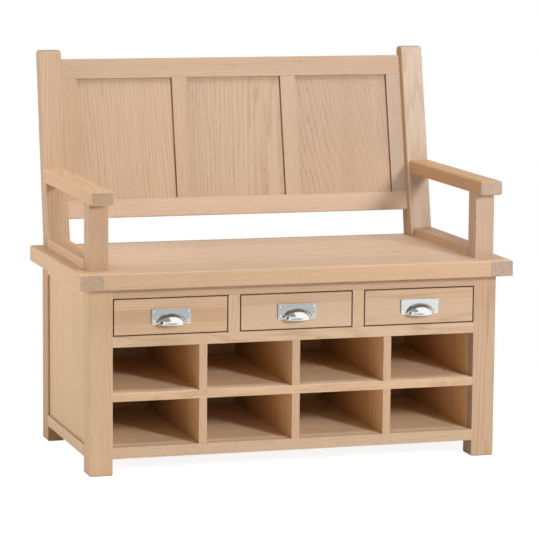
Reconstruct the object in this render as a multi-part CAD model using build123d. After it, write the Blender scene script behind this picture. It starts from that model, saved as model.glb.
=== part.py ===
from build123d import *
import os
from math import cos, radians, sin, tan

# Hall bench in solid oak. A shoe cabinet with a row of drawers over two rows of pigeonholes carries
# a settle seat with arms and a raked frame-and-panel back.
# Millimetres, +Z up, front towards -Y, origin on the floor under the middle of the bounding box.
# While the pieces are made, y = 0 is the front face of the legs.

# Cabinet over its legs
body_width = 1040.0
body_depth = 510.0
leg = 58.0               # front legs are square
leg_ease = 2.5           # rounding of the outer upright edges
foot_chamfer = 3.0
board = 20.0             # shelf, floor, deck, dividers and inner sides
lining_proud = 4.0       # inner sides stand this far inside the front legs

# Heights in the cabinet, from the floor upwards
floor_clearance = 41.0
bottom_rail_height = 27.5
pigeonhole_height = 112.5
drawer_rail_height = 26.5
drawer_opening = 92.0
top_rail_height = 26.0

# Front frame and sides
rail_depth = 26.0
stile_width = 29.0
rail_ease = 1.0
side_rail_thickness = 26.0
side_panel_thickness = 8.0
side_panel_recess = 6.0
panel_shadow_gap = 1.0   # open line between a panel's face and its frame
back_board_thickness = 8.0
back_board_inset = 6.0   # from the rear face of the legs

# Joinery
tenon_length = 20.0
tenon_thickness = 10.0
tenon_shoulder = 6.0
groove_width = 6.0
groove_depth = 8.0
tongue_short = 1.0       # a panel's tongue stops this far from the bottom of its groove
fit = 0.1                # glue line on each side of a tenon or tongue

# Seat
seat_thickness = 40.0
seat_overhang_side = 30.0
seat_overhang_front = 36.0
seat_overhang_rear = 9.0
seat_end_width = 58.0
seat_tongue_length = 15.0
seat_tongue_thickness = 12.0
seat_round_top = 5.0
seat_round_bottom = 2.5

# Back
back_height = 492.0      # uprights above the seat
back_rake = 12.0         # degrees
upright_width = 57.0
upright_inset = 34.0     # from the end of the seat
upright_foot_depth = 65.5
upright_top_depth = 42.0
upright_top_round = 13.0
upright_ease = 4.0
frame_setback = 17.0     # back frame behind the face of the uprights
frame_thickness = 18.0
frame_gap = 71.0         # open gap above the seat, along the rake
frame_bottom_rail = 46.5
frame_top_rail = 51.0
frame_panel_height = 311.0
frame_stile = 41.0
back_panel_recess = 8.0
back_panel_thickness = 7.0
frame_ease = 1.0

# Arms
arm_height = 197.0       # top of the armrest above the seat
arm_thickness = 35.0
arm_width = 57.0
arm_inset = 28.5         # from the end of the seat
arm_front_inset = 6.0    # from the front edge of the seat
arm_round = 6.0
post_width = 48.0
post_depth = 53.0
post_setback = 43.5      # behind the front end of the armrest
post_ease = 2.0
post_tenon = 14.0
arm_rail_width = 49.0
arm_rail_height = 22.5

# Drawers
drawer_count = 3
drawer_gap = 3.0         # open line around each drawer front
drawer_front_thickness = 20.0
drawer_front_ease = 1.5
drawer_length = 430.0
drawer_side_thickness = 12.0
drawer_side_height = 76.0
drawer_side_inset = 2.0  # behind the ends of the drawer front
drawer_bottom_thickness = 6.0
drawer_bottom_lift = 8.0
drawer_bottom_let_in = 5.0
running_gap = 0.3        # under the drawer sides
guide_gap = 1.0          # between a drawer side and its guide
guide_height = 30.0

# Cup pulls
plate_width = 98.0
plate_height = 37.0
plate_thickness = 4.5
plate_round = 2.0
cup_half_width = 35.0
cup_reach = 27.0         # out from the plate, and up from its lower edge
cup_wall = 2.0
cup_end = 6.0            # degrees of the arch cut off flat at each end
rim_width = 3.5
rim_thickness = 2.0
pull_screw_inset = 6.5   # from the sides of the plate
pull_screw_top = 5.5     # upper screws, from the plate's upper edge
pull_screw_foot = 9.0    # lower screws, from its lower edge
pull_screw_head = 3.0    # radius
pull_screw_dome = 1.6
pull_screw_shank = 1.4   # radius
pull_screw_bite = 12.0   # into the drawer front
screw_slot_width = 0.8
screw_slot_depth = 0.7

# Screws that hold the seat to the cabinet, posts and uprights
seat_screw_cover = 6.0   # wood left above the tip
seat_screw_head = 4.5    # radius
seat_screw_head_height = 3.0
seat_screw_shank = 2.5   # radius
seat_screw_spacing = 28.0
seat_screw_margin = 60.0  # first screw of a side rail, from its end

# Levels and lines that the sizes give
z_floor = floor_clearance + bottom_rail_height
z_shelf = z_floor + pigeonhole_height
z_upper = z_shelf + board
z_rail = z_upper + pigeonhole_height
z_drawer = z_rail + drawer_rail_height
z_top_rail = z_drawer + drawer_opening
z_seat = z_top_rail + top_rail_height
z_sit = z_seat + seat_thickness
z_crown = z_sit + back_height

x_body = body_width / 2
x_leg = x_body - leg                   # inner face of the front legs
x_inner = x_leg - lining_proud         # inner face of the inner sides
x_lining = x_inner + board             # outer face of the inner sides
x_seat = x_body + seat_overhang_side
x_seat_joint = x_seat - seat_end_width
x_upright = x_seat - upright_inset
x_upright_inner = x_upright - upright_width
x_arm = x_seat - arm_inset - arm_width / 2

y_seat_front = -seat_overhang_front
y_seat_rear = body_depth + seat_overhang_rear
y_back_board = body_depth - back_board_inset - back_board_thickness
y_rear_leg = body_depth - leg
y_upright = y_seat_rear - upright_foot_depth
y_arm = y_seat_front + arm_front_inset
y_post = y_arm + post_setback

opening_width = (2 * x_leg - (drawer_count - 1) * stile_width) / drawer_count
drawer_width = opening_width - 2 * drawer_gap
drawer_pitch = opening_width + stile_width
divider_pitch = (2 * x_leg - 3 * board) / 4 + board

pieces = {}                            # each named piece, or the list of boards or screws in a group


def block(x, y, z, grow=0.0):
    """Straight block between a low and a high value on each axis, grown on every side."""
    size = [high - low + 2 * grow for low, high in (x, y, z)]
    middle = [(low + high) / 2 for low, high in (x, y, z)]
    return Pos(*middle) * Box(*size)


def both(x):
    """Range from -x to x."""
    return (-x, x)


def around(middle, width):
    """Range of a width about its middle."""
    return (middle - width / 2, middle + width / 2)


def pair(name, left):
    """Left piece and its mirror image."""
    pieces[name + "_left"] = left
    pieces[name + "_right"] = mirror(left, about=Plane.YZ)


def edges_at(solid, along, **places):
    """Straight edges along an axis whose middles lie at the given X, Y or Z."""
    found = solid.edges().filter_by(along)
    return [e for e in found if all(abs(getattr(e.center(), k) - v) < 0.01 for k, v in places.items())]


# Joinery of the front rails: a tenon at each end, let into the front legs
def front_rail_range(low, high):
    return both(x_leg), (0, rail_depth), (low, high)


def front_tenon(low, high, grow=0.0):
    """Tenon at the left end of a front rail between two heights."""
    y = around(rail_depth / 2, tenon_thickness)
    return block((-x_leg - tenon_length, -x_leg), y, (low + tenon_shoulder, high - tenon_shoulder), grow)


def front_rail(low, high, eased):
    """Rail across the front, with its long front edges eased where they meet an opening."""
    rail = block(*front_rail_range(low, high))
    edges = [e for z in eased for e in edges_at(rail, Axis.X, Y=0, Z=z)]
    rail = fillet(edges, rail_ease)
    tenon = front_tenon(low, high)
    return rail + tenon + mirror(tenon, about=Plane.YZ)


front_rails = {"front_bottom_rail": (floor_clearance, z_floor),
               "drawer_rail": (z_rail, z_drawer),
               "front_top_rail": (z_top_rail, z_seat)}

# Joinery of the sides: rails tenoned into both legs, with a panel in grooves
side_rails = {"side_bottom_rail": (floor_clearance, z_floor), "side_top_rail": (z_top_rail, z_seat)}
x_side_rail = (-x_body, -x_body + side_rail_thickness)
x_side_panel = (-x_body + side_panel_recess, -x_body + side_panel_recess + side_panel_thickness)
x_side_tongue = around(sum(x_side_panel) / 2, groove_width)
x_side_screw = (x_side_tongue[1] + x_side_rail[1]) / 2


def side_tenons(low, high, grow=0.0):
    """Tenons at the front and rear ends of a left side rail."""
    x = around(sum(x_side_rail) / 2, tenon_thickness)
    z = (low + tenon_shoulder, high - tenon_shoulder)
    return (block(x, (leg - tenon_length, leg), z, grow)
            + block(x, (y_rear_leg, y_rear_leg + tenon_length), z, grow))


def side_groove():
    """Groove for the side panel, all the way round its opening."""
    return block(x_side_tongue, (leg - groove_depth, y_rear_leg + groove_depth),
                 (z_floor - groove_depth, z_top_rail + groove_depth), fit)


def side_panel():
    """Panel with a tongue all round and an open line between its face and the frame."""
    face = block(x_side_panel, (leg + panel_shadow_gap, y_rear_leg - panel_shadow_gap),
                 (z_floor + panel_shadow_gap, z_top_rail - panel_shadow_gap))
    let_in = groove_depth - tongue_short
    return face + block(x_side_tongue, (leg - let_in, y_rear_leg + let_in),
                        (z_floor - let_in, z_top_rail + let_in))


def lining_range():
    """Inner side: the wall of the outer pigeonholes, behind a rebate in the front leg."""
    return (-x_lining, -x_inner), (rail_depth, y_back_board), (floor_clearance, z_seat)


def leg_post(x, y, eased):
    """Leg with a chamfered foot and rounded outer edges."""
    post = block(x, y, (0, z_seat))
    post = chamfer(post.faces().sort_by(Axis.Z)[0].edges(), foot_chamfer)
    return fillet([e for place in eased for e in edges_at(post, Axis.Z, **place)], leg_ease)


def front_leg():
    outer = [dict(X=-x_body, Y=0), dict(X=-x_body, Y=leg)]
    post = leg_post((-x_body, -x_leg), (0, leg), outer)
    post -= block(*lining_range())
    for low, high in front_rails.values():
        post -= front_tenon(low, high, fit)
    return side_cuts(post)


def rear_leg():
    outer = [dict(X=-x_body, Y=y_rear_leg), dict(X=-x_body, Y=body_depth)]
    return side_cuts(leg_post((-x_body, -x_lining), (y_rear_leg, body_depth), outer))


def side_cuts(post):
    """Mortises for the side rails and the groove for the side panel."""
    for low, high in side_rails.values():
        post -= side_tenons(low, high, fit)
    return post - side_groove()


def side_rail(low, high):
    rail = block(x_side_rail, (leg, y_rear_leg), (low, high))
    return rail + side_tenons(low, high) - side_groove()


def cabinet():
    """Legs, rails, panels and boards of the cabinet."""
    pair("leg_front", front_leg())
    pair("leg_rear", rear_leg())
    for name, (low, high) in side_rails.items():
        pair(name, side_rail(low, high))
    pair("side_panel", side_panel())
    pair("inner_side", block(*lining_range()))

    (low, high) = front_rails["front_bottom_rail"]
    pieces["front_bottom_rail"] = front_rail(low, high, (low, high))
    (low, high) = front_rails["drawer_rail"]
    pieces["drawer_rail"] = front_rail(low, high, (low, high))
    (low, high) = front_rails["front_top_rail"]
    pieces["front_top_rail"] = front_rail(low, high, (low,))
    for name, side in (("left", -1), ("right", 1)):
        x = around(side * drawer_pitch / 2, stile_width)
        stile = block(x, (0, rail_depth), (z_drawer, z_top_rail))
        pieces["drawer_stile_" + name] = fillet(edges_at(stile, Axis.Z, Y=0), rail_ease)

    depth = (rail_depth, y_back_board)
    pieces["cabinet_floor"] = block(both(x_inner), depth, (z_floor - board, z_floor))
    pieces["drawer_deck"] = block(both(x_inner), depth, (z_drawer - board, z_drawer))
    pieces["middle_shelf"] = middle_shelf()
    pieces["pigeonhole_dividers"] = dividers()
    pieces["drawer_guides"] = drawer_guides()
    pieces["cabinet_back"] = block(both(x_lining), (y_back_board, y_back_board + back_board_thickness),
                                   (floor_clearance, z_seat))


def middle_shelf():
    """Shelf between the two rows, notched at its front corners round the inner sides."""
    z = (z_shelf, z_upper)
    front = block(both(x_leg), (0, rail_depth), z)
    front = fillet(edges_at(front, Axis.X, Y=0), rail_ease)
    return front + block(both(x_inner), (rail_depth, y_back_board), z)


def dividers():
    """Upright boards between the pigeonholes: one row under the shelf and one above it.

    The upper ones stop under the drawer rail at the front and under the deck behind it.
    """
    boards = []
    for low, front_top, rear_top in ((z_floor, z_shelf, z_shelf), (z_upper, z_rail, z_drawer - board)):
        for step in (-1, 0, 1):
            x = around(step * divider_pitch, board)
            front = block(x, (0, rail_depth), (low, front_top))
            front = fillet(edges_at(front, Axis.Z, Y=0), rail_ease)
            boards.append(front + block(x, (rail_depth, y_back_board), (low, rear_top)))
    return boards


def drawer_guides():
    """Bars on the deck that keep neighbouring drawers apart."""
    width = stile_width + 2 * (drawer_gap + drawer_side_inset - guide_gap)
    return [block(around(side * drawer_pitch / 2, width), (rail_depth, y_back_board),
                  (z_drawer, z_drawer + guide_height)) for side in (-1, 1)]


# Back: everything in the frame is made upright, behind the plane of its front face, then leaned back
lean = tan(radians(back_rake))
on_frame = Pos(0, y_upright + frame_setback / cos(radians(back_rake)), z_sit) * Rot(-back_rake, 0, 0)
h_bottom = (frame_gap, frame_gap + frame_bottom_rail)
h_panel = (h_bottom[1], h_bottom[1] + frame_panel_height)
h_top = (h_panel[1], h_panel[1] + frame_top_rail)
frame_depth = (0, frame_thickness)
panel_depth = (back_panel_recess, back_panel_recess + back_panel_thickness)
tongue_depth = around(sum(panel_depth) / 2, groove_width)
panel_width = (2 * x_upright_inner - 4 * frame_stile) / 3
panel_pitch = panel_width + frame_stile


def upright_face(z):
    """Front face of the uprights at a height."""
    return y_upright + lean * (z - z_sit)


def frame_tenon(h, grow=0.0):
    """Tenon at the left end of a back rail."""
    y = around(frame_thickness / 2, tenon_thickness)
    return block((-x_upright_inner - tenon_length, -x_upright_inner), y,
                 (h[0] + tenon_shoulder, h[1] - tenon_shoulder), grow)


def frame_rail(h, groove):
    """Rail across the back, tenoned into the uprights and grooved for panels and stiles."""
    rail = block(both(x_upright_inner), frame_depth, h)
    rail = fillet(rail.edges().filter_by(Axis.X), frame_ease)
    rail -= block(both(x_upright_inner), tongue_depth, groove, fit)
    tenon = frame_tenon(h)
    return rail + tenon + mirror(tenon, about=Plane.YZ)


def frame_stile_at(middle, groove_sides):
    """Upright member between the back rails, tongued at its ends and grooved for the panels beside it."""
    x = around(middle, frame_stile)
    stile = block(x, frame_depth, h_panel)
    stile += block(x, tongue_depth, (h_panel[0] - groove_depth, h_panel[1] + groove_depth))
    for side in groove_sides:
        edge = middle + side * frame_stile / 2
        stile -= block(around(edge, 2 * groove_depth), tongue_depth,
                       (h_panel[0] - 2 * groove_depth, h_panel[1] + 2 * groove_depth), fit)
    return stile


def back_panel(middle):
    """Flat panel with a tongue all round and an open line between its face and the frame."""
    let_in = groove_depth - tongue_short
    face = block(around(middle, panel_width - 2 * panel_shadow_gap), panel_depth,
                 (h_panel[0] + panel_shadow_gap, h_panel[1] - panel_shadow_gap))
    return face + block(around(middle, panel_width + 2 * let_in), tongue_depth,
                        (h_panel[0] - let_in, h_panel[1] + let_in))


def upright():
    """Raked, tapered post with a rounded top, mortised for the back rails and the armrest."""
    y_crown = upright_face(z_crown)
    outline = Polyline((y_upright, z_sit), (y_seat_rear, z_sit), (y_crown + upright_top_depth, z_crown),
                       (y_crown, z_crown), close=True)
    profile = make_face(outline)
    profile = fillet([v for v in profile.vertices() if abs(v.Y - z_crown) < 0.01], upright_top_round)
    solid = Plane.YZ.offset(-x_upright) * extrude(profile, upright_width)
    ends = solid.faces().filter_by(Axis.X)
    solid = fillet([e for end in ends for e in end.edges() if e.center().Z > z_sit + 1], upright_ease)
    for h in (h_bottom, h_top):
        solid -= on_frame * frame_tenon(h, fit)
    return solid - arm_tenon(fit)


def back():
    """Uprights, rails, stiles and panels of the back."""
    pair("upright", upright())
    pieces["back_bottom_rail"] = on_frame * frame_rail(h_bottom, (h_panel[0] - groove_depth, h_panel[0]))
    pieces["back_top_rail"] = on_frame * frame_rail(h_top, (h_panel[1], h_panel[1] + groove_depth))
    edge = x_upright_inner - frame_stile / 2
    pair("back_stile", on_frame * frame_stile_at(-edge, (1,)))
    pair("back_mullion", on_frame * frame_stile_at(-panel_pitch / 2, (-1, 1)))
    for name, step in (("left", -1), ("middle", 0), ("right", 1)):
        pieces["back_panel_" + name] = on_frame * back_panel(step * panel_pitch)


# Arms
z_arm = (z_sit + arm_height - arm_thickness, z_sit + arm_height)
x_armrest = around(-x_arm, arm_width)
x_post = around(-x_arm, post_width)
x_arm_rail = around(-x_arm, arm_rail_width)


def up_to_upright(x, y_front, z):
    """Bar that runs back to the raked face of the upright."""
    y = [upright_face(z[0]), upright_face(z[1])]
    outline = Polyline((y_front, z[0]), (y[0], z[0]), (y[1], z[1]), (y_front, z[1]), close=True)
    return Plane.YZ.offset(x[0]) * extrude(make_face(outline), x[1] - x[0])


def arm_tenon(grow=0.0):
    """Tenon at the rear end of the left armrest."""
    z = (z_arm[0] + tenon_shoulder, z_arm[1] - tenon_shoulder)
    x = around((-x_arm - x_upright + upright_width / 2) / 2, arm_width / 2)
    return block(x, (upright_face(z[0]) - tenon_length, upright_face(z[1]) + tenon_length), z, grow)


def post_tenon_block(grow=0.0):
    """Tenon on top of the left post."""
    x = (x_post[0] + tenon_shoulder, x_post[1] - tenon_shoulder)
    y = (y_post + tenon_shoulder, y_post + post_depth - tenon_shoulder)
    return block(x, y, (z_arm[0], z_arm[0] + post_tenon), grow)


def armrest():
    bar = up_to_upright(x_armrest, y_arm, z_arm)
    shown = [e for e in bar.edges() if e.center().Y < upright_face(z_arm[0]) - arm_width]
    return fillet(shown, arm_round) + arm_tenon() - post_tenon_block(fit)


def arm_post():
    post = block(x_post, (y_post, y_post + post_depth), (z_sit, z_arm[0]))
    return fillet(post.edges().filter_by(Axis.Z), post_ease) + post_tenon_block()


def arms():
    """Armrests, their front posts and the rails that lie on the seat."""
    pair("armrest", armrest())
    pair("arm_post", arm_post())
    rail = up_to_upright(x_arm_rail, y_post + post_depth, (z_sit, z_sit + arm_rail_height))
    top = [e for x in x_arm_rail for e in edges_at(rail, Axis.Y, X=x, Z=z_sit + arm_rail_height)]
    pair("arm_rail", fillet(top, post_ease))


# Seat
seat_y = (y_seat_front, y_seat_rear)
seat_z = (z_seat, z_sit)


def seat_tongue(grow=0.0):
    """Tongue along the left end of the seat board."""
    return block((-x_seat_joint - seat_tongue_length, -x_seat_joint), seat_y,
                 around(sum(seat_z) / 2, seat_tongue_thickness), grow)


def seat_edges_rounded(plank, outer):
    """Rounds the long edges at the seat's front and rear, and at an outer end if there is one."""
    for z, radius in ((z_sit, seat_round_top), (z_seat, seat_round_bottom)):
        edges = [e for y in seat_y for e in edges_at(plank, Axis.X, Y=y, Z=z)]
        edges += edges_at(plank, Axis.Y, X=outer, Z=z) if outer else []
        plank = fillet(edges, radius)
    return plank


def seat():
    """Seat board between two end boards that run from front to back."""
    plank = seat_edges_rounded(block(both(x_seat_joint), seat_y, seat_z), None)
    inside = block(both(x_seat), (y_seat_front + seat_round_top, y_seat_rear - seat_round_top), seat_z)
    tongue = seat_tongue() & inside
    pieces["seat_board"] = plank + tongue + mirror(tongue, about=Plane.YZ)
    end = seat_edges_rounded(block((-x_seat, -x_seat_joint), seat_y, seat_z), -x_seat)
    pair("seat_end", end - (seat_tongue(fit) & inside))


# Drawers
from_end = (Align.CENTER, Align.CENTER, Align.MIN)
z_front = (z_drawer + drawer_gap, z_top_rail - drawer_gap)
z_side = (z_drawer + running_gap, z_drawer + running_gap + drawer_side_height)
z_bottom = (z_side[0] + drawer_bottom_lift, z_side[0] + drawer_bottom_lift + drawer_bottom_thickness)
z_pull = sum(z_front) / 2 - plate_height / 2
x_drawer_side = drawer_width / 2 - drawer_side_inset
x_drawer_inside = x_drawer_side - drawer_side_thickness


def drawer_front():
    front = block(both(drawer_width / 2), (0, drawer_front_thickness), z_front)
    front = fillet(front.faces().sort_by(Axis.Y)[0].edges(), drawer_front_ease)
    for place in pull_screw_places():
        front -= place * pull_screw_shaft(fit)
    return front - drawer_bottom(fit)


def drawer_box():
    """Two sides and a back, grooved for the bottom."""
    side = block((-x_drawer_side, -x_drawer_inside), (drawer_front_thickness, drawer_length), z_side)
    side -= drawer_bottom(fit)
    end = block(both(x_drawer_inside), (drawer_length - drawer_side_thickness, drawer_length),
                (z_bottom[1], z_side[1]))
    return [side, mirror(side, about=Plane.YZ), end]


def drawer_bottom(grow=0.0):
    return block(both(x_drawer_inside + drawer_bottom_let_in),
                 (drawer_front_thickness - drawer_bottom_let_in, drawer_length), z_bottom, grow)


def half_ellipse(half_width, height):
    """Upper half of an ellipse that stands on the X axis."""
    arch = EllipticalCenterArc((0, 0), half_width, height, arc_size=180)
    return make_face([arch, Line((-half_width, 0), (half_width, 0))])


def half_dome(half_width, reach):
    """Arch turned about the lower edge of the plate, kept in front of the plate and above that edge."""
    turns = [radians(cup_end + i * (180 - 2 * cup_end) / 12) for i in range(13)]
    arch = Spline(*[(half_width * cos(t), reach * sin(t)) for t in turns])
    (x, y) = (half_width * cos(turns[0]), reach * sin(turns[0]))
    outline = [arch, Polyline((-x, y), (-x, 0), (x, 0), (x, y))]
    dome = revolve(make_face(outline), Axis.X)
    return dome & block(both(2 * half_width), (-2 * reach, 0), (0, 2 * reach))


def pull():
    """Cup pull: a plate, a raised arch and a hollow half dome that is open underneath."""
    plate = block(both(plate_width / 2), (-plate_thickness, 0), (z_pull, z_pull + plate_height))
    plate = fillet(plate.faces().sort_by(Axis.Y)[0].edges(), plate_round)
    for place in pull_screw_places():
        plate -= place * pull_screw_shaft(fit)
    rim = extrude(half_ellipse(cup_half_width + rim_width, cup_reach + rim_width), rim_thickness)
    cup = half_dome(cup_half_width, cup_reach) + Rot(90, 0, 0) * rim
    cup -= half_dome(cup_half_width - cup_wall, cup_reach - cup_wall)
    return plate + Pos(0, -plate_thickness, z_pull) * cup


def pull_screw_places():
    """Near the four corners of the plate, on its front face."""
    across = plate_width / 2 - pull_screw_inset
    heights = (z_pull + pull_screw_foot, z_pull + plate_height - pull_screw_top)
    return [Pos(i * across, -plate_thickness, z) for i in (-1, 1) for z in heights]


def pull_screw_shaft(grow=0.0):
    length = plate_thickness + pull_screw_bite + grow
    return Rot(-90, 0, 0) * Cylinder(pull_screw_shank + grow, length, align=from_end)


def pull_screw():
    """Slotted screw with a domed head."""
    ball = (pull_screw_head ** 2 + pull_screw_dome ** 2) / (2 * pull_screw_dome)
    head = Pos(0, ball - pull_screw_dome, 0) * Sphere(ball)
    head &= block(both(2 * pull_screw_head), (-2 * pull_screw_dome, 0), both(2 * pull_screw_head))
    slot = block(both(2 * pull_screw_head), (-2 * pull_screw_dome, screw_slot_depth - pull_screw_dome),
                 both(screw_slot_width / 2))
    return head - slot + pull_screw_shaft()


def drawers():
    """Three alike drawers, each with its front, box, bottom, pull and screws."""
    screws = [place * pull_screw() for place in pull_screw_places()]
    made = {"front": [drawer_front()], "box": drawer_box(), "bottom": [drawer_bottom()], "pull": [pull()],
            "pull_screws": screws}
    for name, step in (("left", -1), ("middle", 0), ("right", 1)):
        along = Pos(step * drawer_pitch, 0, 0)
        for piece, solids in made.items():
            pieces["drawer_" + name + "_" + piece] = [along * solid for solid in solids]


# Screws under the seat
seat_screw_length = top_rail_height + seat_thickness - seat_screw_cover


def seat_screw(grow=0.0):
    """Screw that points up, with its head let in flush."""
    return (Cylinder(seat_screw_head + grow, seat_screw_head_height + grow, align=from_end)
            + Cylinder(seat_screw_shank + grow, seat_screw_length + grow, align=from_end))


def seat_screw_places():
    """Under the posts, the uprights, the front rail and the side rails."""
    x_foot = x_upright - upright_width / 2
    y_foot = y_upright + upright_foot_depth / 2
    places = []
    for side in (-1, 1):
        for step in around(0, seat_screw_spacing):
            places.append(Pos(side * x_arm + step, y_post + post_depth / 2, z_seat))
            places.append(Pos(side * x_foot + step, y_foot, z_seat))
        for y in (leg + seat_screw_margin, y_rear_leg - seat_screw_margin):
            places.append(Pos(side * x_side_screw, y, z_top_rail))
    for step in (-1, 0, 1):
        places.append(Pos(step * drawer_pitch, rail_depth / 2, z_top_rail))
    return places


def seat_screws():
    """Bores the pieces that the seat's screws pass through and adds the screws."""
    bored = ["seat_board", "front_top_rail"]
    for name in ("seat_end", "side_top_rail", "arm_post", "upright"):
        bored += [name + "_left", name + "_right"]
    for place in seat_screw_places():
        bore = place * seat_screw(fit)
        box = bore.bounding_box()
        for name in bored:
            if pieces[name].bounding_box().overlaps(box):
                pieces[name] -= bore
    pieces["seat_screws"] = [place * seat_screw() for place in seat_screw_places()]


cabinet()
back()
arms()
seat()
drawers()
seat_screws()

groups = {name: piece if isinstance(piece, list) else [piece] for name, piece in pieces.items()}
boxes = [solid.bounding_box() for group in groups.values() for solid in group]
y_middle = (min(box.min.Y for box in boxes) + max(box.max.Y for box in boxes)) / 2
os.makedirs("parts", exist_ok=True)
for name, group in groups.items():
    placed = [Pos(0, -y_middle, 0) * solid for solid in group]
    export_step(placed[0] if len(placed) == 1 else Compound(children=placed), "parts/" + name + ".step")
print("pieces", len(groups), "front face of the legs at y =", round(-y_middle, 3))
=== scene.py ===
"""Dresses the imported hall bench: oak for its boards, chrome for its cup pulls, and a white studio."""

from math import cos, pi, radians, sin

import bmesh
import bpy
import numpy as np
from bpy.props import FloatProperty, FloatVectorProperty, PointerProperty
from bpy.types import Operator, Panel, PropertyGroup
from mathutils import Matrix, Vector


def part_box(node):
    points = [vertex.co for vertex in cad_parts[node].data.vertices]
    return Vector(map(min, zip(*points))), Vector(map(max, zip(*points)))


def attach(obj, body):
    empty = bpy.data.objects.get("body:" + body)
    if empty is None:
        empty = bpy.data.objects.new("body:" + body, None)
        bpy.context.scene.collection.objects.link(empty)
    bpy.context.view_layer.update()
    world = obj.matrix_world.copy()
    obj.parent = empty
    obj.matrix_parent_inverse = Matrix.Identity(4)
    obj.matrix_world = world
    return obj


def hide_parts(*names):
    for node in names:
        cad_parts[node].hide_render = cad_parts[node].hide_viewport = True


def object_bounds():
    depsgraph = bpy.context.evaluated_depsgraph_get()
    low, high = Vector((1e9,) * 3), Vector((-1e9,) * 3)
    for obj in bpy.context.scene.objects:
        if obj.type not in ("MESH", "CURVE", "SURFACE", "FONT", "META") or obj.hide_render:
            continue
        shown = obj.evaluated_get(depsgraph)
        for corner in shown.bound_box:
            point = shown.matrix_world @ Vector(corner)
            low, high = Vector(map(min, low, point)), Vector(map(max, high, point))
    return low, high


bl_info = {
    "name": "Hall bench",
    "version": (1, 0, 0),
    "blender": (4, 5, 0),
    "location": "3D View > Sidebar > Hall bench",
    "description": "Dresses the packed hall bench in oak and chrome and sets it in a white studio",
    "category": "Object",
}

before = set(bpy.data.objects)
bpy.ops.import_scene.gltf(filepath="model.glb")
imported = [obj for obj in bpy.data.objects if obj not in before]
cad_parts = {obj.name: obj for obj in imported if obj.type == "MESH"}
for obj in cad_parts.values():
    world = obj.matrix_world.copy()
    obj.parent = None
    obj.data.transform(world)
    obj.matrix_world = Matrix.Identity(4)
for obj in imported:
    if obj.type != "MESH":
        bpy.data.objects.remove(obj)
cad_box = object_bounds()
DRAWERS = ("left", "middle", "right")
PLAIN = (1.0, 1.0, 1.0)  # tint that leaves the oak as it is

# Ways that the edges of a board look
FRONT = ((0.0, -1.0, 0.0),)
LEFT = ((-1.0, 0.0, 0.0),)
RIGHT = ((1.0, 0.0, 0.0),)

# Each lamp: turn to the right of the front and lift, in degrees, then distance and size, in metres
LAMPS = {
    "key": (19.6, 16.5, 4.41, (0.35, 0.7)),
    "side": (-92.0, 15.0, 2.2, (0.66, 1.0)),
    "top": (10.0, 75.0, 6.0, (3.0, 3.0)),
    "back": (155.0, 1.0, 5.0, (2.0, 2.0)),
}

# Each glowing card, seen only in reflections as a painted reflection in the chrome: its lowest and highest
# corner, in metres, and its grey
CARDS = {
    "card_overhead": ((-6.0, -7.0, 4.0), (-0.9, -0.5, 4.0), 0.30),
    "card_at_left": ((-3.0, -1.5, 0.0), (-3.0, 3.0, 2.0), 0.05),
    "card_in_front": ((-2.5, -2.1, 0.0), (0.8, -2.1, 0.8), 0.41),
    "card_at_right": ((0.8, -2.1, 0.0), (1.5, -2.1, 0.8), 0.80),
}

ARCH_POINTS = 65  # along the arch of a cup and of its bead


class OakFinish(PropertyGroup):
    """Colours and figure of the limed oak."""

    pale: FloatVectorProperty(
        name="Pale wood", description="Colour of the dense late wood",
        subtype="COLOR", default=(0.700, 0.489, 0.331), min=0.0, max=1.0)
    dark: FloatVectorProperty(
        name="Dark wood", description="Colour of the porous early wood",
        subtype="COLOR", default=(0.489, 0.306, 0.179), min=0.0, max=1.0)
    drawer_pale: FloatVectorProperty(
        name="Drawer box, pale", description="Late wood of the unfinished drawer boxes",
        subtype="COLOR", default=(0.760, 0.590, 0.410), min=0.0, max=1.0)
    drawer_dark: FloatVectorProperty(
        name="Drawer box, dark", description="Early wood of the unfinished drawer boxes",
        subtype="COLOR", default=(0.600, 0.420, 0.260), min=0.0, max=1.0)
    ring_width: FloatProperty(
        name="Ring width", description="Width of one year's growth",
        unit="LENGTH", default=0.0031, min=0.0005)
    stave_width: FloatProperty(
        name="Stave width", description="Width of the staves glued up into a wide board",
        unit="LENGTH", default=0.094, min=0.02)
    relief: FloatProperty(
        name="Pore relief", description="Depth of the open pores",
        unit="LENGTH", default=0.00012, min=0.0)
    rake: FloatProperty(
        name="Rake of the back", description="Lean of the uprights and of the panelled back",
        subtype="ANGLE", default=radians(12.0))


class CupPull(PropertyGroup):
    """Shape and finish of the chrome cup pulls. Width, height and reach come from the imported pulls."""

    colour: FloatVectorProperty(
        name="Chrome", description="Colour of the polished metal",
        subtype="COLOR", default=(0.90, 0.94, 0.93), min=0.0, max=1.0)
    # Darker metal round the cup's root, and painted shade on the plate's two ends
    hollow_and_end_darkening: FloatVectorProperty(
        name="Darkening", description="Colour of the metal round the cup's root and on the plate's ends",
        subtype="COLOR", default=(0.32, 0.36, 0.38), min=0.0, max=1.0)
    plate_thickness: FloatProperty(
        name="Plate thickness", description="Thickness of the back plate",
        unit="LENGTH", default=0.0045)
    plate_corner: FloatProperty(
        name="Plate corner", description="Radius of the plate's corners",
        unit="LENGTH", default=0.002)
    plate_bevel: FloatProperty(
        name="Plate bevel", description="Rounding of the plate's front edge",
        unit="LENGTH", default=0.0009)
    cup_half_width: FloatProperty(
        name="Cup half width", description="Half the width of the cup at its mouth",
        unit="LENGTH", default=0.035)
    cup_wall: FloatProperty(
        name="Cup wall", description="Thickness of the cup and of its rolled lip",
        unit="LENGTH", default=0.002)
    bead_radius: FloatProperty(
        name="Bead radius", description="Radius of the bead round the arch of the cup",
        unit="LENGTH", default=0.0019)


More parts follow.
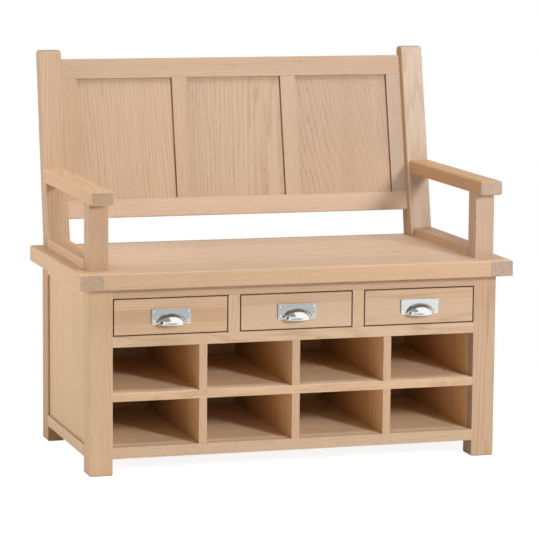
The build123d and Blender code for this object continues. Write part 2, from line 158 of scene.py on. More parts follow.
class Studio(PropertyGroup):
    """Camera and strength of the light."""

    camera_place: FloatVectorProperty(
        name="Camera place", description="Where the camera stands",
        subtype="TRANSLATION", default=(-2.1382, -7.0202, 1.4891))
    camera_turn: FloatVectorProperty(
        name="Camera turn", description="Yaw to the right, pitch up and roll",
        subtype="EULER", default=(0.2979, -0.1409, 0.0081))
    lens: FloatProperty(
        name="Lens", description="Focal length on a sensor 36 mm wide, in millimetres",
        default=195.4, min=10.0)
    sky: FloatProperty(
        name="Sky", description="Strength of the even light from all round",
        default=0.15, min=0.0)
    key_power: FloatProperty(
        name="Key lamp", description="Power of the lamp in front at the right, in watts",
        default=103.0, min=0.0)
    side_power: FloatProperty(
        name="Side lamp", description="Power of the lamp at the left, in watts",
        default=17.5, min=0.0)
    top_power: FloatProperty(
        name="Top lamp", description="Power of the lamp overhead, in watts",
        default=222.0, min=0.0)
    back_power: FloatProperty(
        name="Back lamp", description="Power of the lamp behind at the right, in watts",
        default=120.0, min=0.0)


class Wiring:
    """Adds nodes to a tree from left to right and links their sockets."""

    def __init__(self, tree):
        self.tree = tree

    def add(self, kind, inputs=None, **settings):
        node = self.tree.nodes.new(kind)
        node.location = (190 * len(self.tree.nodes), 0)
        for name, value in settings.items():
            setattr(node, name, value)
        for name, value in (inputs or {}).items():
            self.put(value, node.inputs[name])
        return node

    def put(self, value, socket):
        if isinstance(value, bpy.types.NodeSocket):
            self.tree.links.new(value, socket)
        else:
            socket.default_value = value

    def math(self, operation, a, b=0.0, c=0.0):
        return self.add("ShaderNodeMath", {0: a, 1: b, 2: c}, operation=operation).outputs[0]

    def vector(self, operation, a, b):
        node = self.add("ShaderNodeVectorMath", {0: a, 1: b}, operation=operation)
        return node.outputs["Value" if operation == "DOT_PRODUCT" else "Vector"]

    def noise(self, vector, detail=2.0, roughness=0.5):
        inputs = {"Vector": vector, "Scale": 1.0, "Detail": detail, "Roughness": roughness}
        return self.add("ShaderNodeTexNoise", inputs).outputs[0]

    def centred_noise(self, vector, spread, **kind):
        """Noise between minus and plus half of a spread."""
        return self.math("MULTIPLY_ADD", self.noise(vector, **kind), spread, -spread / 2)

    def smooth(self, value, low, high):
        """0 below low, 1 above high, with a smooth step between them."""
        values = {"Value": value, "From Min": low, "From Max": high}
        return self.add("ShaderNodeMapRange", values, interpolation_type="SMOOTHSTEP").outputs["Result"]

    def between(self, value, rise, fall):
        """1 between a smooth step up and a smooth step down, each given by its low and its high."""
        return self.math("SUBTRACT", self.smooth(value, *rise), self.smooth(value, *fall))

    def mix(self, factor, a, b, kind="RGBA", blend="MIX"):
        (first, second, out) = {"RGBA": (6, 7, 2), "VECTOR": (4, 5, 1)}[kind]
        node = self.add("ShaderNodeMix", {0: factor, first: a, second: b}, data_type=kind)
        if kind == "RGBA":
            node.blend_type = blend
        return node.outputs[out]


def new_group(name, inputs, outputs):
    """Makes a shader node group with its sockets, and gives its wiring and what its input node puts out."""
    group = bpy.data.node_groups.new(name, "ShaderNodeTree")
    for label, kind in inputs:
        group.interface.new_socket(label, in_out="INPUT", socket_type="NodeSocket" + kind)
    for label, kind in outputs:
        group.interface.new_socket(label, in_out="OUTPUT", socket_type="NodeSocket" + kind)
    wiring = Wiring(group)
    return wiring, wiring.add("NodeGroupInput").outputs


def oak_grain_group():
    """Oak in three dimensions.

    Board is a place in the board, in metres: x along the grain, y across the face and z into the wood.
    Each stave has its own pith. Rings are circles about that pith, bent by slow noise, so they show as
    straight lines, as pointed arches or, on an end, as arcs. Fibres and pores are noise drawn out along
    the grain, and the pores crowd into the early wood of each ring.
    """
    w, given = new_group(
        "Oak grain",
        [("Board", "Vector"), ("End Grain", "Float"), ("Pale", "Color"), ("Dark", "Color"),
         ("Tint", "Color"), ("Stave Width", "Float"), ("Stave Contrast", "Float"),
         ("Ring Width", "Float"), ("Seed", "Float")],
        [("Color", "Color"), ("Roughness", "Float"), ("Height", "Float")])
    along, across, through = w.add("ShaderNodeSeparateXYZ", {0: given["Board"]}).outputs
    stave = w.math("FLOOR", w.math("DIVIDE", across, given["Stave Width"]))
    pick = w.add("ShaderNodeCombineXYZ", {0: stave, 1: given["Seed"]}).outputs[0]
    chance = w.add("ShaderNodeTexWhiteNoise", {"Vector": pick}, noise_dimensions="2D")
    sideways, tilt, depth = w.add("ShaderNodeSeparateColor", {0: chance.outputs["Color"]}).outputs

    shift_along = w.math("MULTIPLY", given["Seed"], 3.7)
    shift_through = w.math("MULTIPLY", stave, 0.83)
    shift = w.add("ShaderNodeCombineXYZ", {0: shift_along, 1: given["Seed"], 2: shift_through})
    place = w.vector("ADD", given["Board"], shift.outputs[0])

    def drawn_out(per_metre_along, per_metre_across):
        return w.vector("MULTIPLY", place, (per_metre_along, per_metre_across, per_metre_across))

    bend = w.centred_noise(drawn_out(1.4, 5.0), 0.014)
    sway = w.centred_noise(drawn_out(13.0, 26.0), 0.0030)
    middle = w.math("MULTIPLY", w.math("ADD", stave, 0.5), given["Stave Width"])
    aside = w.math("MULTIPLY_ADD", sideways, 0.10, -0.05)
    to_pith = w.math("ADD", w.math("SUBTRACT", across, middle), aside)
    lean = w.math("MULTIPLY", along, w.math("MULTIPLY_ADD", tilt, 0.04, -0.02))
    to_pith = w.math("ADD", w.math("ADD", to_pith, lean), sway)
    dive = w.math("MULTIPLY_ADD", w.math("FRACT", w.math("MULTIPLY", depth, 13.7)), 0.05, -0.025)
    dive = w.math("MULTIPLY_ADD", along, dive, w.math("MULTIPLY_ADD", depth, 0.09, 0.07))
    pith_depth = w.math("ADD", w.math("ADD", through, bend), dive)
    square = w.math("MULTIPLY_ADD", to_pith, to_pith, w.math("MULTIPLY", pith_depth, pith_depth))
    years = w.math("DIVIDE", w.math("SQRT", square), given["Ring Width"])
    years = w.math("ADD", years, w.centred_noise(drawn_out(3.2, 70.0), 1.6))
    season = w.math("FRACT", years)
    early = w.between(season, (0.0, 0.06), (0.06, 0.55))

    streak = w.noise(drawn_out(0.9, 26.0), detail=3.0)
    fibre = w.noise(drawn_out(6.0, 320.0), detail=4.0, roughness=0.62)
    pore = w.smooth(w.noise(drawn_out(42.0, 1500.0), detail=1.0), 0.56, 0.70)
    pore = w.math("MULTIPLY", pore, w.math("MULTIPLY_ADD", early, 0.75, 0.25))

    shade = w.math("MULTIPLY_ADD", streak, 0.44, -0.05)
    shade = w.math("MULTIPLY_ADD", early, 0.30, shade)
    shade = w.math("ADD", shade, w.math("MULTIPLY_ADD", fibre, 0.55, -0.275))
    shade = w.math("MULTIPLY_ADD", w.math("SUBTRACT", tilt, 0.5), given["Stave Contrast"], shade)
    shade = w.add("ShaderNodeClamp", {0: shade}).outputs[0]
    colour = w.mix(shade, given["Pale"], given["Dark"])
    colour = w.mix(w.math("MULTIPLY", pore, 0.55), colour, (0.60, 0.49, 0.37, 1.0), blend="MULTIPLY")
    speck = w.smooth(w.noise(w.vector("MULTIPLY", place, (430.0, 430.0, 430.0)), detail=2.0), 0.40, 0.62)
    end_colour = w.mix(w.math("MULTIPLY_ADD", early, 0.3, w.math("MULTIPLY", speck, 0.6)),
                       (0.86, 0.92, 1.02, 1.0), (0.42, 0.44, 0.48, 1.0))
    colour = w.mix(given["End Grain"], colour, end_colour, blend="MULTIPLY")
    colour = w.mix(1.0, colour, given["Tint"], blend="MULTIPLY")

    rough = w.math("MULTIPLY_ADD", fibre, 0.16, 0.40)
    rough = w.math("MULTIPLY_ADD", pore, 0.18, rough)
    rough = w.math("MULTIPLY_ADD", given["End Grain"], 0.15, rough)
    height = w.math("SUBTRACT", w.math("MULTIPLY", fibre, 0.35), pore)
    w.add("NodeGroupOutput", {"Color": colour, "Roughness": rough, "Height": height})


def grains(rake):
    """Directions of a board's grain and of its face's width, for each way that a board lies."""
    return {
        "upright": ((0, 0, 1), (1, 0, 0)),
        "upright_side": ((0, 0, 1), (0, 1, 0)),
        "long_front": ((1, 0, 0), (0, 0, 1)),
        "long_flat": ((1, 0, 0), (0, 1, 0)),
        "deep_flat": ((0, 1, 0), (1, 0, 0)),
        "deep_side": ((0, 1, 0), (0, 0, 1)),
        "raked": ((0, sin(rake), cos(rake)), (1, 0, 0)),
    }


def board_place(w, coordinates, node, grain, stave, start):
    """Object coordinates turned to a board's own axes, with the middle of its face mid-stave."""
    along, across = (Vector(axis) for axis in grain)
    turn = Matrix((along, across, along.cross(across)))
    low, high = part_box(node)
    middle = turn @ ((low + high) / 2)
    mapping = w.add("ShaderNodeMapping", {"Vector": coordinates.outputs["Object"]})
    mapping.inputs["Rotation"].default_value = turn.to_euler()
    mapping.inputs["Location"].default_value = (start - middle.x, stave / 2 - middle.y, -middle.z)
    return mapping.outputs[0]


def oak_material(node, lie, seed, tint=PLAIN, stave=0.4, contrast=0.2, ring=1.0, cross_lie=None,
                 edge=None, edge_ways=FRONT, unfinished=False):
    """Oak for one board, with its own seed, tint and lie.

    Faces across the grain are end grain. In a group of boards that lie two ways, they take the
    second lie. Where an edge tint is given, the faces that look along one of the edge ways take it.
    """
    oak = bpy.context.scene.bench_oak
    material = bpy.data.materials.new("oak_" + node)
    material.use_nodes = True
    w = Wiring(material.node_tree)
    shader = material.node_tree.nodes["Principled BSDF"]
    coordinates = w.add("ShaderNodeTexCoord")
    grain = grains(oak.rake)[lie]
    start = 1.7 * seed
    board = board_place(w, coordinates, node, grain, stave, start)
    facing = w.math("ABSOLUTE", w.vector("DOT_PRODUCT", coordinates.outputs["Normal"], grain[0]))
    end_grain = w.smooth(facing, 0.72, 0.96)
    if cross_lie:
        other = board_place(w, coordinates, node, grains(oak.rake)[cross_lie], stave, start)
        board = w.mix(end_grain, board, other, kind="VECTOR")
        end_grain = 0.0
    pale, dark = (oak.drawer_pale, oak.drawer_dark) if unfinished else (oak.pale, oak.dark)
    tint = (*tint, 1.0)
    # Edge tints colour the faces that look one way; on several boards they are painted shade or painted light
    if edge:
        looks = [w.vector("DOT_PRODUCT", coordinates.outputs["Normal"], way) for way in edge_ways]
        most = w.math("MAXIMUM", looks[0], looks[-1])
        tint = w.mix(w.smooth(most, 0.7, 0.95), tint, (*edge, 1.0))
    values = {
        "Board": board, "End Grain": end_grain, "Pale": (*pale, 1.0), "Dark": (*dark, 1.0), "Tint": tint,
        "Stave Width": stave, "Stave Contrast": contrast, "Ring Width": ring * oak.ring_width,
        "Seed": float(seed),
    }
    wood = w.add("ShaderNodeGroup", values, node_tree=bpy.data.node_groups["Oak grain"]).outputs
    heights = {"Height": wood["Height"], "Distance": oak.relief, "Strength": 0.6}
    relief = w.add("ShaderNodeBump", heights)
    w.put(wood["Color"], shader.inputs["Base Color"])
    w.put(wood["Roughness"], shader.inputs["Roughness"])
    w.put(relief.outputs["Normal"], shader.inputs["Normal"])
    shader.inputs["IOR"].default_value = 1.45
    shader.inputs["Specular IOR Level"].default_value = 0.05
    return material


def dress(node, material):
    """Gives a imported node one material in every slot."""
    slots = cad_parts[node].data.materials
    slots.clear()
    slots.append(material)


def dress_oak(lie, first_seed, boards, **kind):
    """Gives each board its own oak: boards maps a node to its tint, and the seeds count up from the first."""
    for step, (node, tint) in enumerate(boards.items()):
        dress(node, oak_material(node, lie, first_seed + step, tint, **kind))


def metal_material(name, colour, roughness):
    """Polished metal with faint clouds of wiping marks, between a low and a high roughness."""
    material = bpy.data.materials.new(name)
    material.use_nodes = True
    w = Wiring(material.node_tree)
    shader = material.node_tree.nodes["Principled BSDF"]
    place = w.add("ShaderNodeTexCoord").outputs["Object"]
    wiped = w.noise(w.vector("MULTIPLY", place, (120.0, 120.0, 260.0)), detail=3.0)
    low, high = roughness
    marks = {"Value": wiped, "From Min": 0.3, "From Max": 0.7, "To Min": low, "To Max": high}
    rough = w.add("ShaderNodeMapRange", marks)
    w.put(rough.outputs["Result"], shader.inputs["Roughness"])
    shader.inputs["Base Color"].default_value = (*colour, 1.0)
    shader.inputs["Metallic"].default_value = 1.0
    return material


def hollow_and_end_darkening(material, pull, front, foot):
    """Darkens the metal in the hollow where the cups leave their plates, and paints shade on the plates' two
    ends.

    A place in the hollow is told by its turn from the plate, whose tangent is the way out from the
    plate's front over the height above its foot. A place on an end lies behind that front and looks
    sideways.
    """
    w = Wiring(material.node_tree)
    place = w.add("ShaderNodeTexCoord").outputs
    _, depth, height = w.add("ShaderNodeSeparateXYZ", {0: place["Object"]}).outputs
    out = w.math("SUBTRACT", front, depth)
    turn = w.math("ARCTAN2", out, w.math("SUBTRACT", height, foot))
    hollow = w.between(turn, (0.06, 0.12), (0.66, 0.84))
    # The plates' two ends take the dark colour as painted shade
    sideways = w.math("ABSOLUTE", w.vector("DOT_PRODUCT", place["Normal"], (1.0, 0.0, 0.0)))
    behind = w.math("SUBTRACT", 1.0, w.smooth(out, -0.0012, -0.0004))
    end = w.math("MULTIPLY", w.smooth(sideways, 0.8, 0.95), behind)
    dark = w.math("MAXIMUM", hollow, end)
    colour = w.mix(dark, (*pull.colour, 1.0), (*pull.hollow_and_end_darkening, 1.0))
    w.put(colour, material.node_tree.nodes["Principled BSDF"].inputs["Base Color"])


def grid_faces(rows, columns, closed):
    """Quads between the points of a grid, with the last column joined to the first if closed."""
    row = np.arange(rows - 1)[:, None] * columns
    column = np.arange(columns if closed else columns - 1)[None, :]
    after = (column + 1) % columns
    quads = [row + column, row + after, row + columns + after, row + columns + column]
    return np.stack(quads, -1).reshape(-1, 4)


def joined_surfaces(name, surfaces, sharp):
    """One mesh from several grids of points, with doubled points merged and faces turned outwards."""
    points = []
    faces = []
    count = 0
    for grid, closed in surfaces:
        rows, columns, _ = grid.shape
        points.append(grid.reshape(-1, 3))
        faces.append(grid_faces(rows, columns, closed) + count)
        count += rows * columns
    mesh = bpy.data.meshes.new(name)
    mesh.from_pydata(np.concatenate(points).tolist(), [], np.concatenate(faces).tolist())
    shape = bmesh.new()
    shape.from_mesh(mesh)
    bmesh.ops.remove_doubles(shape, verts=shape.verts, dist=1e-6)
    bmesh.ops.recalc_face_normals(shape, faces=shape.faces)
    shape.to_mesh(mesh)
    shape.free()
    mesh.polygons.foreach_set("use_smooth", np.ones(len(mesh.polygons), bool))
    mesh.set_sharp_from_angle(angle=sharp)
    return mesh


def plate_surface(width, height, pull):
    """Plate: a rectangle with round corners, carried forwards, in over its bevel and on to its middle.

    A point is a corner's centre plus the corner's radius less the inset, in the corner's direction.
    """
    steps = 40
    turn = (np.arange(steps) + 0.5) * 2 * pi / steps
    direction = np.stack([np.cos(turn), np.sin(turn)], -1)
    centre = np.sign(direction) * (np.array([width, height]) / 2 - pull.plate_corner)
    bevel = np.linspace(0.0, pi / 2, 6)
    rounding = pull.plate_bevel * (1 - np.cos(bevel))
    inset = np.concatenate([[pull.plate_corner, 0.0], rounding, [pull.plate_corner]])
    flat = pull.plate_thickness - pull.plate_bevel
    out = np.concatenate([[0.0, 0.0], flat + pull.plate_bevel * np.sin(bevel), [pull.plate_thickness]])
    ring = centre[None] + (pull.plate_corner - inset)[:, None, None] * direction[None]
    pole = np.zeros((1, steps, 2))
    ring = np.concatenate([pole, ring, pole])
    out = np.concatenate([[0.0], out, [pull.plate_thickness]])
    depth = np.broadcast_to(-out[:, None], ring.shape[:2])
    return np.stack([ring[..., 0], depth, ring[..., 1] + height / 2], -1)


def cup_surface(reach, pull):
    """Cup: a half ellipse turned a quarter turn about the plate's lower edge, with a rolled lip.

    x = a R cos t, forwards = c R sin t sin p, up = c R sin t cos p, where t runs along the arch,
    p is the turn from the plate and R steps from the outer to the inner face round the lip.
    """
    wall = pull.cup_wall / reach
    lip = np.linspace(0.0, pi, 9)[1:-1]
    sweep = np.linspace(0.0, pi / 2, 25)
    turn = np.concatenate([sweep, pi / 2 + wall / 2 * np.sin(lip), sweep[::-1]])
    rolled = 1 - wall / 2 + wall / 2 * np.cos(lip)
    scale = np.concatenate([np.ones_like(sweep), rolled, np.full_like(sweep, 1 - wall)])
    arch = np.linspace(0.0, pi, ARCH_POINTS)[:, None]
    x = pull.cup_half_width * scale * np.cos(arch)
    forwards = reach * scale * np.sin(arch) * np.sin(turn)
    up = reach * scale * np.sin(arch) * np.cos(turn)
    return np.stack([x, -forwards - pull.plate_thickness, up], -1)


def bead_surface(reach, pull):
    """Bead round the arch: a circle carried along the cup's half ellipse, thinned to both ends."""
    arch = np.linspace(0.0, pi, ARCH_POINTS)[:, None]
    ring = np.linspace(0.0, 2 * pi, 16, endpoint=False)[None, :]
    thin = pull.bead_radius * np.minimum(1.0, np.sin(arch) * 9.0) ** 0.5
    outward = thin * np.cos(ring) + pull.bead_radius * 0.4
    x = (pull.cup_half_width + outward) * np.cos(arch)
    up = (reach + outward) * np.sin(arch)
    forwards = thin * np.sin(ring) + pull.plate_thickness + pull.bead_radius * 0.35
    return np.stack([x, -forwards, up], -1)


class BENCH_OT_cabinet(Operator):
    """Dress the legs, rails, panels and boards of the cabinet"""

    bl_idname = "bench.cabinet"
    bl_label = "Cabinet"

    def execute(self, context):
        stave = context.scene.bench_oak.stave_width
        rear_leg = (0.89, 0.80, 0.71)
        side = (1.04, 1.04, 0.98)
        rail = (0.95, 0.97, 0.97)
        # Painted light: lighter, warmer tint for the inner sides, dividers and drawer deck, standing in for
        # light inside the cabinet
        lining = (1.20, 1.14, 0.92)
        lining_edge = (0.86, 0.83, 0.81)
        # Painted light: the shelf and cabinet floor are tinted much paler, up to 1.7 times in blue, on all
        # but their front edges
        shelf = (1.38, 1.56, 1.70)
        shelf_edge = (0.95, 0.92, 0.88)
        # Painted light: the inside face of the cabinet back is tinted much paler
        back_inside = (1.38, 1.56, 1.65)
        dress_oak("upright", 1, {
            "leg_front_left": (0.90, 0.89, 0.83), "leg_front_right": (0.81, 0.80, 0.78),
            "leg_rear_left": rear_leg, "leg_rear_right": rear_leg})
        dress_oak("deep_side", 9, {
            "side_bottom_rail_left": side, "side_bottom_rail_right": side,
            "side_top_rail_left": side, "side_top_rail_right": side})
        dress_oak("upright_side", 14, {
            "side_panel_left": side, "side_panel_right": side}, stave=stave)
        dress_oak("long_front", 17, {
            "front_bottom_rail": (0.88, 0.90, 0.91), "drawer_rail": rail,
            # The front top rail's darker tint is painted shade under the seat's overhang
            "front_top_rail": (0.82, 0.83, 0.84)})
        dress_oak("upright", 22, {
            "drawer_stile_left": rail, "drawer_stile_right": rail})
        dress_oak("upright_side", 25, {
            "inner_side_left": lining, "inner_side_right": lining,
            "pigeonhole_dividers": lining}, stave=stave, edge=lining_edge)
        dress_oak("long_flat", 31, {
            "middle_shelf": shelf, "cabinet_floor": shelf}, stave=stave, edge=shelf_edge)
        dress_oak("long_flat", 33, {"drawer_deck": lining}, stave=stave)
        dress_oak("long_front", 34, {
            "cabinet_back": (0.95, 0.95, 0.93)}, stave=stave, edge=back_inside)
        dress_oak("deep_flat", 36, {"drawer_guides": PLAIN})
        return {"FINISHED"}


class BENCH_OT_seat(Operator):
    """Dress the seat board, its end boards and the screws under them"""

    bl_idname = "bench.seat"
    bl_label = "Seat"

    def execute(self, context):
        stave = context.scene.bench_oak.stave_width
        # Painted shade: the seat board's front face is tinted darker than its top, as if less lit
        seat_edge = (0.90, 0.88, 0.85)
        dress_oak("long_flat", 40, {
            "seat_board": (0.99, 1.02, 1.07)}, stave=stave, edge=seat_edge)
        dress_oak("deep_flat", 43, {
            "seat_end_left": (1.03, 1.00, 0.95), "seat_end_right": (0.96, 0.98, 1.04)})
        dress("seat_screws", metal_material("zinc_plate", (0.52, 0.53, 0.54), (0.30, 0.45)))
        return {"FINISHED"}


class BENCH_OT_back(Operator):
    """Dress the uprights and the panelled back between them"""

    bl_idname = "bench.back"
    bl_label = "Back"

    def execute(self, context):
        # Painted shade: the uprights' inner faces are tinted browner and darker
        inner_face = (0.88, 0.83, 0.67)
        # Painted shade: dark tint on the side faces of the stiles and mullions, in the panels' recesses
        stile_side = (0.45, 0.36, 0.24)
        dress_oak("raked", 47, {
            "upright_left": (0.87, 0.87, 0.88)}, edge=inner_face, edge_ways=RIGHT)
        # Painted light: the right upright's cooler tint stands in for cool light
        dress_oak("raked", 48, {
            "upright_right": (0.94, 1.05, 1.22)}, edge=inner_face, edge_ways=LEFT)
        # Painted light: the back's bottom rail takes a cooler tint that stands in for cool light
        dress_oak("long_front", 50, {
            "back_bottom_rail": (1.03, 1.10, 1.23), "back_top_rail": (0.89, 0.93, 1.00)})
        dress_oak("raked", 53, {
            "back_stile_left": (0.91, 0.93, 0.97), "back_stile_right": (0.83, 0.93, 1.09),
            "back_mullion_left": (0.86, 0.88, 0.92), "back_mullion_right": (0.87, 0.91, 0.98),
        }, edge=stile_side, edge_ways=LEFT + RIGHT)
        dress_oak("raked", 101, {"back_panel_left": (0.92, 0.95, 1.01)}, ring=1.6)
        dress_oak("raked", 59, {"back_panel_middle": (0.87, 0.91, 0.97)}, ring=0.9)
        dress_oak("raked", 58, {"back_panel_right": (0.85, 0.88, 0.96)}, ring=0.6)
        return {"FINISHED"}


class BENCH_OT_arms(Operator):
    """Dress the armrests, their posts and the rails on the seat"""

    bl_idname = "bench.arms"
    bl_label = "Arms"

    def execute(self, context):
        dress_oak("deep_flat", 63, {"armrest_left": (1.04, 0.98, 0.90)}, edge=(1.0, 0.94, 0.85))
        # The right armrest's darker tint is partly its own tone, partly painted shade; its front end is
        # tinted back lighter
        dress_oak("deep_flat", 64, {"armrest_right": (0.91, 0.81, 0.67)}, edge=(0.99, 1.06, 1.12))
        dress_oak("upright", 66, {
            "arm_post_left": (0.89, 0.88, 0.85), "arm_post_right": (0.93, 0.96, 1.05)})
        dress_oak("deep_flat", 69, {
            "arm_rail_left": (1.12, 1.09, 1.05), "arm_rail_right": (0.97, 0.94, 0.89)})
        return {"FINISHED"}


class BENCH_OT_drawers(Operator):
    """Dress the drawer fronts in oak, and their boxes and bottoms in plain wood"""

    bl_idname = "bench.drawers"
    bl_label = "Drawers"

    def execute(self, context):
        front_stave = 0.034
        tints = {"left": (0.99, 0.98, 0.96), "middle": (0.90, 0.92, 0.94), "right": (0.90, 0.91, 0.91)}
        for step, (drawer, tint) in enumerate(tints.items()):
            name = f"drawer_{drawer}"
            dress_oak("long_front", 73 + step, {name + "_front": tint}, stave=front_stave, contrast=0.8)
            dress_oak("deep_side", 78 + step, {
                name + "_box": PLAIN}, cross_lie="long_front", unfinished=True)
            dress_oak("long_flat", 83 + step, {name + "_bottom": PLAIN}, unfinished=True)
        return {"FINISHED"}


class BENCH_OT_pulls(Operator):
    """Make the chrome cup pulls and dress their screws"""

    bl_idname = "bench.pulls"
    bl_label = "Cup pulls"

    def execute(self, context):
        pull = context.scene.bench_pull
        roughness = (0.12, 0.20)
        crease = radians(40.0)
        chrome = metal_material("chrome", pull.colour, roughness)
        screw_chrome = metal_material("screw_chrome", pull.colour, roughness)
        # All three pulls stand at the same depth and height
        low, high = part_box("drawer_middle_pull")
        # Darker metal in the cups' hollows, and painted shade on the plates' ends
        hollow_and_end_darkening(chrome, pull, high.y - pull.plate_thickness, low.z)
        for drawer in DRAWERS:
            node = f"drawer_{drawer}_pull"
            low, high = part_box(node)
            reach = high.y - low.y - pull.plate_thickness
            surfaces = [(plate_surface(high.x - low.x, high.z - low.z, pull), True),
                        (cup_surface(reach, pull), False),
                        (bead_surface(reach - pull.bead_radius, pull), True)]
            place = np.array([(low.x + high.x) / 2, high.y, low.z])
            placed = [(grid + place, closed) for grid, closed in surfaces]
            mesh = joined_surfaces(f"cup_pull_{drawer}", placed, crease)
            mesh.materials.append(chrome)
            piece = bpy.data.objects.new(mesh.name, mesh)
            context.scene.collection.objects.link(piece)
            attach(piece, f"drawer_{drawer}")
            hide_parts(node)
            dress(f"drawer_{drawer}_pull_screws", screw_chrome)
        return {"FINISHED"}


def white_for_camera(w):
    """1 for the rays that see the background, 0 for those that light the bench."""
    path = w.add("ShaderNodeLightPath").outputs
    seen = w.math("MAXIMUM", path["Is Camera Ray"], path["Is Glossy Ray"])
    return w.math("MAXIMUM", seen, path["Is Transmission Ray"])


def softbox(name, turn, lift, distance, size, power):
    """Lamp that looks at the bench from a turn to the right of its front and a lift, both in degrees."""
    middle = (Vector(cad_box[0]) + Vector(cad_box[1])) / 2
    turn, lift = radians(turn), radians(lift)
    outwards = Vector((sin(turn) * cos(lift), -cos(turn) * cos(lift), sin(lift)))
    lamp = bpy.data.lights.new(name, "AREA")
    lamp.shape = "RECTANGLE"
    lamp.size, lamp.size_y = size
    lamp.energy = power
    holder = bpy.data.objects.new(name, lamp)
    holder.visible_glossy = False
    aim = outwards.to_track_quat("Z", "Y").to_matrix().to_4x4()
    holder.matrix_world = Matrix.Translation(middle + outwards * distance) @ aim
    bpy.context.scene.collection.objects.link(holder)


def flat_sheet(name, low, high):
    """Mesh of one rectangle that lies flat in one axis, between its lowest and its highest corner."""
    across = next(axis for axis in range(3) if low[axis] != high[axis])
    corners = np.array([low, low, high, high])
    corners[1, across] = high[across]
    corners[3, across] = low[across]
    mesh = bpy.data.meshes.new(name)
    mesh.from_pydata(corners.tolist(), [], [(0, 1, 2, 3)])
    return mesh


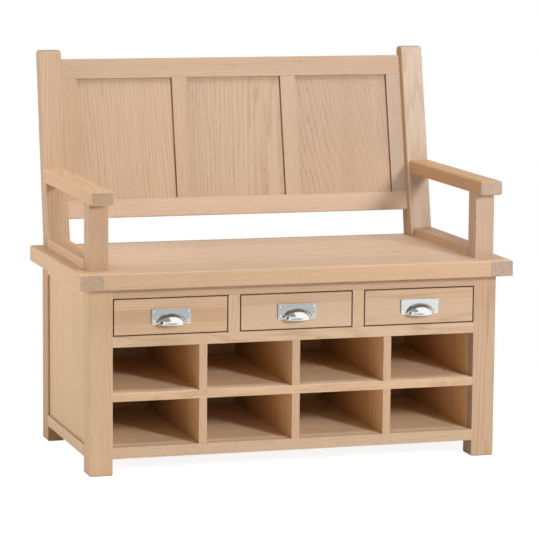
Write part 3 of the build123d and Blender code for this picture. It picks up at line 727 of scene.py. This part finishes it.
class BENCH_OT_studio(Operator):
    """Set the white floor, the grey cards, the even light, the lamps and the camera"""

    bl_idname = "bench.studio"
    bl_label = "Studio"

    def execute(self, context):
        studio = context.scene.bench_studio
        self.floor(context)
        self.cards(context)
        self.sky(context, studio.sky)
        for name, place in LAMPS.items():
            softbox(name + "_lamp", *place, getattr(studio, name + "_power"))
        self.camera(context, studio)
        context.scene.view_settings.view_transform = "Standard"
        return {"FINISHED"}

    def floor(self, context):
        """Wide white floor with the bench's soft shadow, plain white further off and clear from below."""
        half = 30.0
        level = -0.0003
        shadow_start, shadow_end = 0.6, 1.5
        mesh = flat_sheet("floor", (-half, -half, level), (half, half, level))
        material = bpy.data.materials.new("white_floor")
        material.use_nodes = True
        w = Wiring(material.node_tree)
        nodes = material.node_tree.nodes
        matt = nodes["Principled BSDF"]
        matt.inputs["Base Color"].default_value = (0.86, 0.86, 0.86, 1.0)
        matt.inputs["Roughness"].default_value = 0.9
        glow = w.add("ShaderNodeEmission", {"Strength": 0.87})
        shadow = w.add("ShaderNodeBsdfDiffuse", {"Color": (0.38, 0.38, 0.38, 1.0)})
        near = w.add("ShaderNodeAddShader", {0: glow.outputs[0], 1: shadow.outputs[0]})
        far = w.add("ShaderNodeEmission", {"Strength": 1.0})
        place = w.add("ShaderNodeTexCoord").outputs["Object"]
        distance = w.add("ShaderNodeVectorMath", {0: place}, operation="LENGTH").outputs["Value"]
        away = w.smooth(distance, shadow_start, shadow_end)
        seen = w.add("ShaderNodeMixShader", {0: away, 1: near.outputs[0], 2: far.outputs[0]})
        white = white_for_camera(w)
        shader = w.add("ShaderNodeMixShader", {0: white, 1: matt.outputs[0], 2: seen.outputs[0]})
        below = w.add("ShaderNodeNewGeometry").outputs["Backfacing"]
        clear = w.add("ShaderNodeBsdfTransparent")
        shader = w.add("ShaderNodeMixShader", {0: below, 1: shader.outputs[0], 2: clear.outputs[0]})
        w.put(shader.outputs[0], nodes["Material Output"].inputs["Surface"])
        mesh.materials.append(material)
        floor = bpy.data.objects.new("floor", mesh)
        context.scene.collection.objects.link(floor)

    def cards(self, context):
        """Glowing grey cards, seen only in reflections and lighting nothing, which paint darker reflections
        into the chrome.
        """
        for name, (low, high, grey) in CARDS.items():
            mesh = flat_sheet(name, low, high)
            material = bpy.data.materials.new(name)
            material.use_nodes = True
            w = Wiring(material.node_tree)
            glow = w.add("ShaderNodeEmission", {"Strength": grey})
            w.put(glow.outputs[0], material.node_tree.nodes["Material Output"].inputs["Surface"])
            mesh.materials.append(material)
            card = bpy.data.objects.new(name, mesh)
            card.visible_camera = False
            card.visible_diffuse = False
            card.visible_shadow = False
            context.scene.collection.objects.link(card)

    def sky(self, context, strength):
        """Even white light, and plain white behind the bench."""
        world = bpy.data.worlds.new("studio")
        world.use_nodes = True
        w = Wiring(world.node_tree)
        background = world.node_tree.nodes["Background"]
        background.inputs["Color"].default_value = (1.0, 1.0, 1.0, 1.0)
        level = w.math("MULTIPLY_ADD", white_for_camera(w), 1.0 - strength, strength)
        w.put(level, background.inputs["Strength"])
        context.scene.world = world

    def camera(self, context, studio):
        """Camera with its axes worked out from yaw, pitch and roll."""
        yaw, pitch, roll = studio.camera_turn
        forward = Vector((sin(yaw) * cos(pitch), cos(yaw) * cos(pitch), sin(pitch)))
        right = Vector((cos(yaw), -sin(yaw), 0.0))
        up = right.cross(forward)
        across = right * cos(roll) + up * sin(roll)
        upward = up * cos(roll) - right * sin(roll)
        lens = bpy.data.cameras.new("camera")
        lens.sensor_width = 36.0
        lens.lens = studio.lens
        lens.clip_end = 100.0
        camera = bpy.data.objects.new("camera", lens)
        axes = Matrix((across, upward, -forward)).transposed()
        camera.matrix_world = Matrix.Translation(studio.camera_place) @ axes.to_4x4()
        context.scene.collection.objects.link(camera)
        context.scene.camera = camera


class BENCH_PT_panel(Panel):
    """Lists the steps that dress the bench"""

    bl_idname = "BENCH_PT_panel"
    bl_label = "Hall bench"
    bl_space_type = "VIEW_3D"
    bl_region_type = "UI"
    bl_category = "Hall bench"

    def draw(self, context):
        for step in STEPS:
            self.layout.operator(step.bl_idname)
        for group in (context.scene.bench_oak, context.scene.bench_pull, context.scene.bench_studio):
            box = self.layout.box()
            for name in group.__annotations__:
                box.prop(group, name)


STEPS = (BENCH_OT_cabinet, BENCH_OT_seat, BENCH_OT_back, BENCH_OT_arms, BENCH_OT_drawers,
         BENCH_OT_pulls, BENCH_OT_studio)
CLASSES = (OakFinish, CupPull, Studio, *STEPS, BENCH_PT_panel)


def register():
    for kind in CLASSES:
        bpy.utils.register_class(kind)
    bpy.types.Scene.bench_oak = PointerProperty(type=OakFinish)
    bpy.types.Scene.bench_pull = PointerProperty(type=CupPull)
    bpy.types.Scene.bench_studio = PointerProperty(type=Studio)


def unregister():
    del bpy.types.Scene.bench_studio
    del bpy.types.Scene.bench_pull
    del bpy.types.Scene.bench_oak
    for kind in reversed(CLASSES):
        bpy.utils.unregister_class(kind)


def main():
    register()
    oak_grain_group()
    bpy.ops.bench.cabinet()
    bpy.ops.bench.seat()
    bpy.ops.bench.back()
    bpy.ops.bench.arms()
    bpy.ops.bench.drawers()
    bpy.ops.bench.pulls()
    bpy.ops.bench.studio()


if __name__ == "__main__":
    main()
